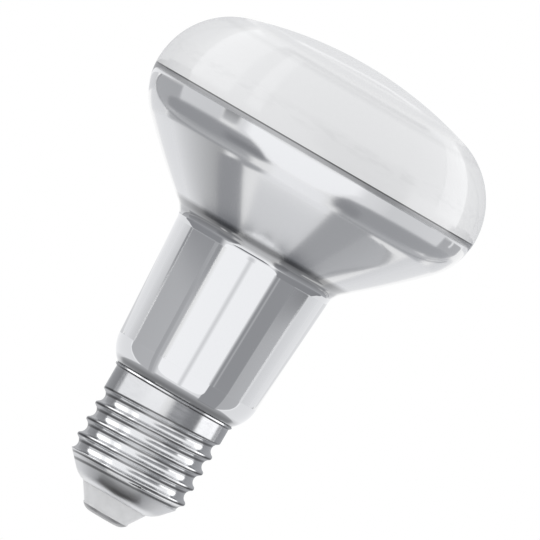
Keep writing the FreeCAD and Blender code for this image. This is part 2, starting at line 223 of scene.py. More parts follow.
def finish_piece(piece, material, slot, *nodes):
    """Gives a piece its material, attaches it to the root body and hides the CAD nodes it
    replaces.
    """
    piece.data.materials.clear()
    piece.data.materials.append(material)
    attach(piece, "root")
    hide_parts(*nodes)


class NodeSheet:
    """Adds and joins the nodes of one material, group or world."""

    def __init__(self, tree):
        self.tree = tree
        self.column = 0

    def add(self, kind, settings=(), **values):
        """Adds a node, sets its attributes and its unlinked or linked inputs."""
        node = self.tree.nodes.new(kind)
        self.column += 1
        node.location = (180 * self.column, -60 * (self.column % 4))
        for name, value in dict(settings).items():
            setattr(node, name, value)
        for name, value in values.items():
            socket = self.socket(node, name)
            if isinstance(value, bpy.types.NodeSocket):
                self.tree.links.new(value, socket)
            else:
                socket.default_value = value
        return node

    def socket(self, node, name):
        """An input by its name in lower case with low lines, or by a number such as in_1."""
        if name.startswith("in_"):
            return node.inputs[int(name[3:])]
        wanted = name.replace("_", " ").lower()
        return next(socket for socket in node.inputs if socket.name.lower() == wanted)

    def math(self, operation, first, second=0.0, clamp=False):
        """The result of a sum on one or two values."""
        settings = {"operation": operation, "use_clamp": clamp}
        return self.add("ShaderNodeMath", settings, in_0=first, in_1=second).outputs[0]

    def mix_colour(self, factor, first, second):
        """A colour that goes from the first to the second as the factor rises."""
        node = self.add(
            "ShaderNodeMix", {"data_type": "RGBA"}, in_0=factor, in_6=first, in_7=second
        )
        return node.outputs[2]

    def spread(self, value, low, high, to_low=0.0, to_high=1.0):
        """Maps a value from one range to another, and stops at both ends."""
        limits = {"from_min": low, "from_max": high, "to_min": to_low, "to_max": to_high}
        return self.add("ShaderNodeMapRange", value=value, **limits).outputs[0]

    def parts(self, kind="Object"):
        """The three parts of a place in Object or UV coordinates."""
        place = self.add("ShaderNodeTexCoord").outputs[kind]
        return self.add("ShaderNodeSeparateXYZ", vector=place).outputs

    def bump(self, height, strength, depth):
        """A normal that follows marks of a depth in millimetres."""
        values = {"height": height, "strength": strength, "distance": depth * MM}
        return self.add("ShaderNodeBump", **values).outputs[0]

    def shared(self, name, fill, **values):
        """A mask from the node group of this name, which its first use makes."""
        tree = bpy.data.node_groups.get(name)
        if tree is None:
            tree = bpy.data.node_groups.new(name, "ShaderNodeTree")
            number = "NodeSocketFloat"
            for title, value in values.items():
                tree.interface.new_socket(
                    title.capitalize(), in_out="INPUT", socket_type=number
                ).default_value = value
            tree.interface.new_socket("Mask", in_out="OUTPUT", socket_type=number)
            inside = NodeSheet(tree)
            entry = inside.add("NodeGroupInput").outputs
            inside.add("NodeGroupOutput", in_0=fill(inside, entry))
        return self.add("ShaderNodeGroup", {"node_tree": tree}, **values).outputs[0]


def height_band(sheet, entry):
    """Masks the heights between two levels, with soft borders."""
    height = sheet.parts()["Z"]
    over_low = sheet.math("SUBTRACT", height, entry["Low"])
    under_high = sheet.math("SUBTRACT", entry["High"], height)
    rise, fall = (
        sheet.math("ADD", sheet.math("DIVIDE", off, entry["Softness"]), 0.5, clamp=True)
        for off in (over_low, under_high)
    )
    return sheet.math("MULTIPLY", rise, fall)


def fine_grain(sheet, entry):
    """Irregular fine marks, longer round the lamp than along its axis where stretched."""
    parts = sheet.parts()
    tall = sheet.math("MULTIPLY", parts["Z"], entry["Stretch"])
    place = sheet.add("ShaderNodeCombineXYZ", x=parts["X"], y=parts["Y"], z=tall).outputs[0]
    values = {"vector": place, "scale": entry["Scale"], "detail": entry["Detail"]}
    return sheet.add("ShaderNodeTexNoise", **values).outputs[0]


def soft_sides(sheet, entry):
    """Masks a card so that it fades out at its four sides."""
    parts = sheet.parts("UV")
    masks = []
    for along, title in ((parts[0], "Across"), (parts[1], "Upwards")):
        near = sheet.math("MINIMUM", along, sheet.math("SUBTRACT", 1.0, along))
        steps = sheet.math("MULTIPLY", near, entry[title])
        smooth = {"interpolation_type": "SMOOTHSTEP"}
        masks.append(sheet.add("ShaderNodeMapRange", smooth, value=steps).outputs[0])
    return sheet.math("MULTIPLY", *masks)


def band(sheet, low, high, softness):
    """A height mask, from the shared group, in millimetres."""
    values = {"low": low * MM, "high": high * MM, "softness": softness * MM}
    return sheet.shared("height_band", height_band, **values)


def grain(sheet, scale, stretch=1.0, detail=4.0):
    """Fine marks, from the shared group."""
    return sheet.shared("fine_grain", fine_grain, scale=scale, stretch=stretch, detail=detail)


def solid(value):
    """A colour with its alpha."""
    return (value[0], value[1], value[2], 1.0)


def shaded(sheet, tone, *shades):
    """A colour with others laid over it, each by a mask and its share where that is full."""
    for mask, share, other in shades:
        tone = sheet.mix_colour(sheet.math("MULTIPLY", mask, share), tone, other)
    return tone


def new_material(name):
    """An empty node material and the sheet to fill it with."""
    material = bpy.data.materials.new(name)
    material.use_nodes = True
    material.node_tree.nodes.clear()
    return material, NodeSheet(material.node_tree)


def close_material(sheet, shader):
    """Joins a shader to the output of its material."""
    sheet.add("ShaderNodeOutputMaterial", surface=shader.outputs[0])


def opaque(sheet, **values):
    """Closes a material with the shader of an opaque piece."""
    close_material(sheet, sheet.add("ShaderNodeBsdfPrincipled", **values))


# The part of the noise that marks are spread over: most of it, or only its middle.
MOST = (0.3, 0.7)
MIDDLE = (0.35, 0.65)

# Bands on the glass: the low and high height and the softness, in millimetres. The foot, bend and
# joint bands are painted shade on the mirror; the rise line is a painted shade line and the crown
# line a painted highlight line on the satin face.
FOOT_SHADE = (20.0, 30.7, 0.9)
BEND_SHADE = (62.6, 64.6, 0.9)
JOINT_SHADE = (63.95, 65.25, 0.8)
SPECKLE_ZONE = (90.0, 92.6, 1.6)
# painted shade: a thin darker line across the satin face
RISE_SHADE_LINE = (100.55, 101.45, 0.9)
# painted highlight: a thin brighter line at the crown of the face
CROWN_HIGHLIGHT_LINE = (104.2, 104.6, 0.3)
CONE_FOOT = 63.5
CONE_SOFT = 3.0

# The same, with heights from where the coat ends: the line itself and a duller band below it.
COAT_LINE = (-0.26, 0.02, 0.1)
UNDER_LINE = (-1.15, 0.0, 0.35)
SATIN_ZONE = (0.0, 100.0, 0.06)

DARK_MIRROR = (0.08, 0.081, 0.084, 1)
DULL_SATIN = (0.50, 0.505, 0.515, 1)
PALE_SATIN = (0.85, 0.855, 0.86, 1)
# Colour of the painted highlight line at the crown.
HIGHLIGHT_SATIN = (0.90, 0.905, 0.91, 1)


def glass_material():
    """Mirror coat behind clear glass up to a sharp line, and a satin face above it, with painted
    shade on the mirror and a painted shade line and a painted highlight line on the face.
    """
    finishes = sizes_of("lamp_finishes")
    edge = sizes_of("lamp_glass").coat_height / MM
    material, sheet = new_material("mirrored_and_satin_glass")
    face, line, under_line = (
        band(sheet, edge + low, edge + high, softness)
        for low, high, softness in (SATIN_ZONE, COAT_LINE, UNDER_LINE)
    )
    cone = band(sheet, CONE_FOOT, edge - CONE_SOFT, CONE_SOFT)
    speckle = sheet.spread(grain(sheet, 260.0, 4.0, 6.0), 0.46, 0.62)
    speckle = sheet.math("MULTIPLY", speckle, band(sheet, *SPECKLE_ZONE))
    # The satin face: a painted shade line, a painted highlight line at the crown, fine darker
    # speckle and faint paler clouds.
    satin = shaded(
        sheet,
        solid(finishes.satin),
        (band(sheet, *RISE_SHADE_LINE), 0.3, DULL_SATIN),
        (band(sheet, *CROWN_HIGHLIGHT_LINE), 0.5, HIGHLIGHT_SATIN),
        (speckle, 0.14, DULL_SATIN),
        (sheet.spread(grain(sheet, 30.0, detail=3.0), *MOST), 0.04, PALE_SATIN),
    )
    # The mirror is darker under the coat line; painted shade darkens it at the bend, the joint
    # and the foot.
    mirror = shaded(
        sheet,
        solid(finishes.mirror),
        (under_line, 0.45, DARK_MIRROR),
        (band(sheet, *BEND_SHADE), 0.5, DARK_MIRROR),
        (band(sheet, *JOINT_SHADE), 0.74, DARK_MIRROR),
        (band(sheet, *FOOT_SHADE), 0.6, DARK_MIRROR),
    )
    base = sheet.mix_colour(face, mirror, satin)
    base = sheet.mix_colour(line, base, solid(finishes.coat_edge))
    bare = sheet.math("SUBTRACT", 1.0, sheet.math("MULTIPLY", line, 0.7))
    metal = sheet.math("MULTIPLY", sheet.math("SUBTRACT", 1.0, face), bare)
    smoke = sheet.spread(grain(sheet, 60.0, 0.4, 3.0), *MOST, -0.01, 0.02)
    rough = sheet.math("ADD", sheet.spread(cone, 0.0, 1.0, 0.035, 0.12), smoke)
    for mask, least in ((face, 0.5), (under_line, 0.4)):
        rough = sheet.math("MAXIMUM", rough, sheet.math("MULTIPLY", mask, least))
    opaque(
        sheet,
        base_color=base,
        metallic=metal,
        roughness=rough,
        ior=1.5,
        coat_weight=1.0,
        coat_roughness=0.015,
        normal=sheet.bump(grain(sheet, 45.0, 0.5, 1.0), 0.06, 0.3),
    )
    return material


# Painted shade lines on the thread, at its crests and flanks: the middle and half the width as
# shares of the pitch, the share of the half width where a line starts to fade, and the heights
# between which they run.
CREST_SHADE = (0.48, 0.075)
FLANK_SHADE = (0.17, 0.10)
LINE_CORE = 0.35
THREAD_ZONE = (7.7, 25.0, 0.4)

# The painted shade line at the rim, as a height below it, and the bowl's roughness.
RIM_SHADE = (0.66, 0.34, 0.1)
BOWL_ROUGHNESS = 0.34
# Colour of the painted shade lines on the thread and at the rim.
PAINTED_SHADE_METAL = (0.05, 0.05, 0.052, 1)


def shade_line_mask(sheet, turns, middle, half):
    """Masks a thin painted shade line that runs along the thread, at a share of its pitch."""
    share = sheet.math("FRACT", sheet.math("SUBTRACT", turns, middle - 0.5))
    off = sheet.math("ABSOLUTE", sheet.math("SUBTRACT", share, 0.5))
    return sheet.spread(off, half * LINE_CORE, half, 1.0, 0.0)


def painted_thread_shade(sheet):
    """Masks the painted shade lines along the thread and at the shell's rim."""
    s = sizes_of("lamp_cap")
    parts = sheet.parts()
    around = sheet.math("ARCTAN2", parts["Y"], parts["X"])
    risen = sheet.math("SUBTRACT", parts["Z"], s.thread_start)
    risen = sheet.math("DIVIDE", risen, s.thread_pitch)
    turns = sheet.math("SUBTRACT", risen, sheet.math("DIVIDE", around, 2 * math.pi))
    crest = shade_line_mask(sheet, turns, *CREST_SHADE)
    flank = sheet.math("MULTIPLY", shade_line_mask(sheet, turns, *FLANK_SHADE), 0.85)
    both = sheet.math("MAXIMUM", crest, flank)
    both = sheet.math("MULTIPLY", both, band(sheet, *THREAD_ZONE))
    low, high, softness = RIM_SHADE
    rim = band(sheet, s.rim_height / MM - low, s.rim_height / MM - high, softness)
    return sheet.math("MAXIMUM", both, rim)


def metal_material(name, tint, rough, scale, relief, stretch=1.0, bowl_top=None):
    """Satin metal with fine marks, for the cap with a duller bowl and painted shade lines on its
    thread and rim.
    """
    material, sheet = new_material(name)
    marks = grain(sheet, scale, stretch)
    shade = sheet.spread(grain(sheet, 90.0, detail=3.0), *MIDDLE, 0.0, 0.25)
    darker = solid([value * 0.82 for value in tint])
    tone = sheet.mix_colour(shade, solid(tint), darker)
    dullness = sheet.spread(marks, *MIDDLE, *rough)
    if bowl_top:
        bowl = sheet.math("MULTIPLY", band(sheet, 0.0, bowl_top, 1.0), BOWL_ROUGHNESS)
        dullness = sheet.math("MAXIMUM", dullness, bowl)
        # Painted shade lines along the thread and at the rim.
        tone = shaded(sheet, tone, (painted_thread_shade(sheet), 0.86, PAINTED_SHADE_METAL))
    opaque(
        sheet,
        base_color=tone,
        metallic=1.0,
        roughness=dullness,
        normal=sheet.bump(marks, relief, 0.05),
    )
    return material


def mineral_material(name, tint, rough, scale, relief):
    """A pale or brown body with a fine grain, such as an insulator or cement."""
    material, sheet = new_material(name)
    marks = grain(sheet, scale)
    paler = solid([min(value * 1.08, 1.0) for value in tint])
    opaque(
        sheet,
        base_color=sheet.mix_colour(sheet.spread(marks, *MIDDLE), solid(tint), paler),
        roughness=sheet.spread(marks, *MOST, rough - 0.05, rough + 0.05),
        normal=sheet.bump(marks, relief, 0.05),
    )
    return material


class LAMP_OT_glass(bpy.types.Operator):
    """Turns the blown glass: exhaust tube, neck, reflector cone and face"""

    bl_idname = "lamp.glass"
    bl_label = "Glass bulb"

    def execute(self, context):
        s = sizes_of("lamp_glass")
        taper = s.neck_taper
        neck_top = point(s.neck_top_radius, s.neck_top_height)
        bend_centre = neck_top + outward(taper) * s.neck_bend
        shoulder_centre = point(s.bulb_radius - s.shoulder_radius, s.widest_height)
        bow_centre = self.circles_cross(
            bend_centre, s.cone_bow + s.neck_bend, shoulder_centre, s.cone_bow - s.shoulder_radius
        )
        low_slope = lean(bend_centre - bow_centre) - math.pi / 2
        high_slope = lean(shoulder_centre - bow_centre) - math.pi / 2
        crown_centre = point(0, s.bulb_length - s.face_radius)
        lift = s.widest_height - crown_centre.z
        knuckle = (s.face_radius**2 - s.bulb_radius**2 - lift**2) / (
            2 * (s.face_radius - s.bulb_radius)
        )
        knuckle_centre = point(s.bulb_radius - knuckle, s.widest_height)
        crown_half = lean(knuckle_centre - crown_centre)
        foot_centre = point(s.foot_centre_radius, s.foot_centre_height)
        foot_start = under_round(foot_centre, s.foot_radius, s.seal_radius)
        foot_slope = lean(foot_start - foot_centre) - math.pi / 2

        tip_flat, tip_low, tip_high = s.tube_radius * 0.6, 0.25 * MM, 1.4 * MM
        last_ring = 0.2 * MM
        outline = Profile("glass_envelope", 0, s.tube_tip)
        outline.lines(
            (tip_flat, s.tube_tip + tip_low),
            (s.tube_radius, s.tube_tip + tip_high),
            (s.tube_radius, s.seal_height),
            (s.seal_radius, s.seal_height),
            (foot_start.x, foot_start.z, 6),
        )
        outline.arc(foot_centre, foot_slope - taper, 22)
        outline.lines(
            (neck_top.x - last_ring * math.tan(taper), neck_top.z - last_ring, 30),
            (neck_top.x, neck_top.z),
        )
        outline.arc(bend_centre, taper - low_slope, 30)
        outline.arc(bow_centre, low_slope - high_slope, 18)
        outline.arc(shoulder_centre, high_slope, 24)
        outline.arc(knuckle_centre, math.pi / 2 - crown_half, 36)
        outline.arc(crown_centre, crown_half, 24)
        piece = outline.turn_about_axis(256)
        finish_piece(piece, glass_material(), "bulb_glass", "glass_bulb")
        return {"FINISHED"}

    def circles_cross(self, first, first_radius, second, second_radius):
        """Where two circles cross, on the side of the lamp's axis."""
        apart = second - first
        along = (first_radius**2 - second_radius**2 + apart.length**2) / (2 * apart.length)
        side = math.sqrt(first_radius**2 - along**2)
        unit = apart.normalized()
        across = point(-unit.z, unit.x)
        foot = first + unit * along
        return min(foot + across * side, foot - across * side, key=lambda place: place.x)


class LAMP_OT_cap(bpy.types.Operator):
    """Turns the sheet shell of the cap and rolls the round thread into it"""

    bl_idname = "lamp.cap"
    bl_label = "Screw cap"

    def execute(self, context):
        s = sizes_of("lamp_cap")
        wall = s.shell_wall
        bowl = point(s.bowl_centre_radius, s.bowl_centre_height)
        start = under_round(bowl, s.bowl_round, s.waist_radius)
        start_slope = lean(start - bowl) - math.pi / 2
        side_slope = math.radians(42.6)
        side_start = bowl + outward(side_slope) * s.bowl_round
        inner_round = s.bowl_round - wall
        inner_start = bowl + outward(side_slope) * inner_round
        inner_end = under_round(bowl, inner_round, s.waist_radius)
        inner_slope = lean(inner_end - bowl) - math.pi / 2
        crest_height = side_start.z + (s.cap_radius - side_start.x) / math.tan(side_slope)
        core_height = inner_start.z + (s.core_radius - inner_start.x) / math.tan(side_slope)
        flare_bottom = s.rim_height - s.flare_height
        rim = s.cap_radius + s.rim_flare

        rim_edge, collar_slope = 0.04 * MM, 0.9 * MM
        thread_rows = 240
        outline = Profile("screw_shell", start.x, start.z)
        outline.arc(bowl, start_slope - side_slope, 14)
        outline.lines(
            (s.cap_radius, crest_height, 34),
            (s.cap_radius, flare_bottom, thread_rows),
            (rim, s.rim_height - wall, 5),
            (rim - rim_edge, s.rim_height),
            (rim - wall, s.rim_height),
            (s.cap_radius - wall, flare_bottom, 2),
            (s.cap_radius - wall, s.collar_bottom + collar_slope),
            (s.core_radius, s.collar_bottom),
            (s.core_radius, core_height),
            (inner_start.x, inner_start.z),
        )
        outline.arc(bowl, side_slope - inner_slope, 6)
        outline.line(start.x, start.z)
        piece = outline.turn_about_axis(256)
        self.roll_thread(piece, s)
        tint = sizes_of("lamp_finishes").cap
        material = metal_material(
            "rolled_cap_metal", tint, (0.14, 0.19), 500.0, 0.04, stretch=6.0, bowl_top=9.2
        )
        finish_piece(piece, material, "cap_metal", "cap_shell")
        return {"FINISHED"}

    def roll_thread(self, piece, s):
        """Presses the round groove into the outside of the shell along its helix."""
        half = s.thread_pitch / 2
        turn = 2 * math.atan2(s.thread_depth, half)
        valley_round = half / math.sin(turn) - s.crest_round
        valley_half = valley_round * math.sin(turn)
        run_out = (s.thread_depth + s.shell_wall) / 0.3
        margin, tiny = 0.05 * MM, 0.01 * MM

        def rolled(around, z):
            """The radius of the thread at a share of a turn and a height."""
            ring = round((z - s.thread_start) / s.thread_pitch - around)
            turns = ring + around
            off = abs(z - s.thread_start - turns * s.thread_pitch)
            if off < valley_half:
                depth = s.thread_depth - valley_round + math.sqrt(valley_round**2 - off**2)
            else:
                depth = s.crest_round - math.sqrt(max(s.crest_round**2 - (half - off) ** 2, 0.0))
            depth -= max(turns - s.thread_turns, 0.0) * run_out
            return s.cap_radius - max(depth, 0.0)

        normals = {}
        for vertex in piece.data.vertices:
            x, y, z = vertex.co
            radius = math.hypot(x, y)
            if radius < s.core_radius + margin and z > s.bowl_centre_height:
                continue
            around = math.atan2(y, x) / (2 * math.pi) % 1.0
            wanted = rolled(around, z)
            if self.is_outside(radius, z, s) and wanted < radius:
                vertex.co = (x * wanted / radius, y * wanted / radius, z)
                up = (rolled(around, z + tiny) - rolled(around, z - tiny)) / (2 * tiny)
                side = -up * s.thread_pitch / (2 * math.pi * wanted)
                out = Vector((x / radius, y / radius, 0))
                along = Vector((-out.y, out.x, 0))
                normals[vertex.index] = (out - along * side - Vector((0, 0, up))).normalized()
        piece.data.update()
        automatic = Vector((0, 0, 0))
        corners = [normals.get(loop.vertex_index, automatic) for loop in piece.data.loops]
        piece.data.normals_split_custom_set(corners)

    def is_outside(self, radius, z, s):
        """Whether a point is on the shell's outer face."""
        if z > s.rim_height - s.flare_height:
            return False
        if z > s.collar_bottom:
            return radius > s.cap_radius - s.shell_wall / 2
        return radius > s.core_radius + s.shell_wall / 2


class LAMP_OT_insulator(bpy.types.Operator):
    """Turns the insulator between the shell and the contact"""

    bl_idname = "lamp.insulator"
    bl_label = "Insulator"

    def execute(self, context):
        s = sizes_of("lamp_cap")
        foot, base = s.insulator_foot, s.contact_height
        bore, waist_low, waist_high = 1.65 * MM, 4.8 * MM, 5.15 * MM
        seat_radius, seat_height = 9.4 * MM, 6.33 * MM
        outline = Profile("insulator_cone", bore, base)
        outline.lines(
            (foot - 0.15 * MM, base),
            (foot, base + 0.12 * MM),
            (foot, base + 0.42 * MM),
            (foot + 0.08 * MM, base + 0.6 * MM),
            (s.waist_radius, waist_low, 10),
            (s.waist_radius, waist_high),
            (seat_radius, seat_height),
            (bore, seat_height),
            (bore, base),
        )
        piece = outline.turn_about_axis(128, smooth=35.0)
        tint = sizes_of("lamp_finishes").insulator
        material = mineral_material("pale_insulator", tint, 0.32, 400.0, 0.05)
        finish_piece(piece, material, "cap_insulation", "cap_insulator")
        return {"FINISHED"}


class LAMP_OT_contact(bpy.types.Operator):
    """Turns the centre contact and the solder in its dimple"""

    bl_idname = "lamp.contact"
    bl_label = "Centre contact"

    def execute(self, context):
        s = sizes_of("lamp_cap")
        finishes = sizes_of("lamp_finishes")
        hole, dimple, shank, top = 0.6 * MM, 0.5 * MM, 1.6 * MM, 7.0 * MM
        disc = Profile("contact_disc", hole, dimple)
        disc.lines((1.15, 0.09, 3), (1.3, 0.02), (1.45, 0), (3.0, 0, 2), unit=MM)
        disc.arc(point(3.0, 2.65) * MM, math.radians(51.5), 12)
        disc.lines(
            (s.contact_radius, s.contact_height),
            (shank, s.contact_height),
            (shank, top),
            (hole, top),
            (hole, dimple),
        )
        piece = disc.turn_about_axis(96, smooth=35.0)
        plating = metal_material("contact_plating", finishes.contact, (0.3, 0.38), 600.0, 0.15)
        finish_piece(piece, plating, "contact_metal", "centre_contact")

        drop = Profile("solder_drop", 0, 0.08 * MM)
        dome = (0.5, 0.1, 2), (0.95, 0.2, 2), (1.12, 0.15)
        plug = (0.6, 0.5), (0.6, 2.2), (0.35, 2.2), (0.35, 1.1), (0, 1.1), (0, 0.08)
        drop.lines(*dome, *plug, unit=MM)
        piece = drop.turn_about_axis(64, smooth=40.0)
        tin = metal_material("dull_solder", finishes.solder, (0.42, 0.55), 900.0, 0.5)
        finish_piece(piece, tin, "solder", "contact_solder")
        return {"FINISHED"}


class LAMP_OT_inside(bpy.types.Operator):
    """Gives the hidden cement ring and lead wires their finishes"""

    bl_idname = "lamp.inside"
    bl_label = "Hidden pieces"

    def execute(self, context):
        finishes = sizes_of("lamp_finishes")
        cement = mineral_material("matt_cement", finishes.cement, 0.85, 900.0, 0.4)
        wire = metal_material("drawn_wire", finishes.lead, (0.3, 0.4), 1500.0, 0.1, stretch=0.1)
        for node, material in (
            ("basing_cement", cement),
            ("centre_lead", wire),
            ("side_lead", wire),
        ):
            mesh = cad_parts[node].data
            mesh.materials.clear()
            mesh.materials.append(material)
        return {"FINISHED"}


def round_axis(radius, turn, height):
    """A place round the lamp's axis, turned from the front towards +X."""
    return Vector((radius * math.sin(turn), -radius * math.cos(turn), height))


def mirrored_view(across, rise):
    """Where the camera's view goes after a surface that faces this way."""
    normal = round_axis(math.cos(rise), across, math.sin(rise))
    view = Vector((0, -1, 0))
    return 2 * normal.dot(view) * normal - view


def box(name, levels, across, rise, soft=(4, 4)):
    """A card between two directions across and two upwards, with soft sides in degrees."""
    left, right = across[0] - soft[0] / 2, across[1] + soft[0] / 2
    low, high = rise[0] - soft[1] / 2, rise[1] + soft[1] / 2
    sides = [((left, low), (left, high)), ((right, low), (right, high))]
    return name, levels, sides, ((right - left) / soft[0], (high - low) / soft[1])


def patch(name, levels, soft, *columns):
    """A card with a free outline: a direction across and its low and high side, by columns.

    Soft is how many times a side's fade would fit between the sides, across and upwards.
    """
    return name, levels, [((at, low), (at, high)) for at, low, high in columns], soft


def ribbon(name, level, width, *path):
    """A narrow card along a path of directions across and upwards."""
    sides = []
    for order, place in enumerate(path):
        before = path[max(order - 1, 0)]
        after = path[min(order + 1, len(path) - 1)]
        across, rise = after[0] - before[0], after[1] - before[1]
        share = width / 2 / math.hypot(across, rise)
        off = -rise * share, across * share
        sides.append(tuple((place[0] + way * off[0], place[1] + way * off[1]) for way in (-1, 1)))
    return name, level, sides, RIBBON_SOFT


RIBBON_SOFT = (12.0, 2.4)
NECK = (-6.2, -2.9)  # the directions upwards that the neck's wall mirrors


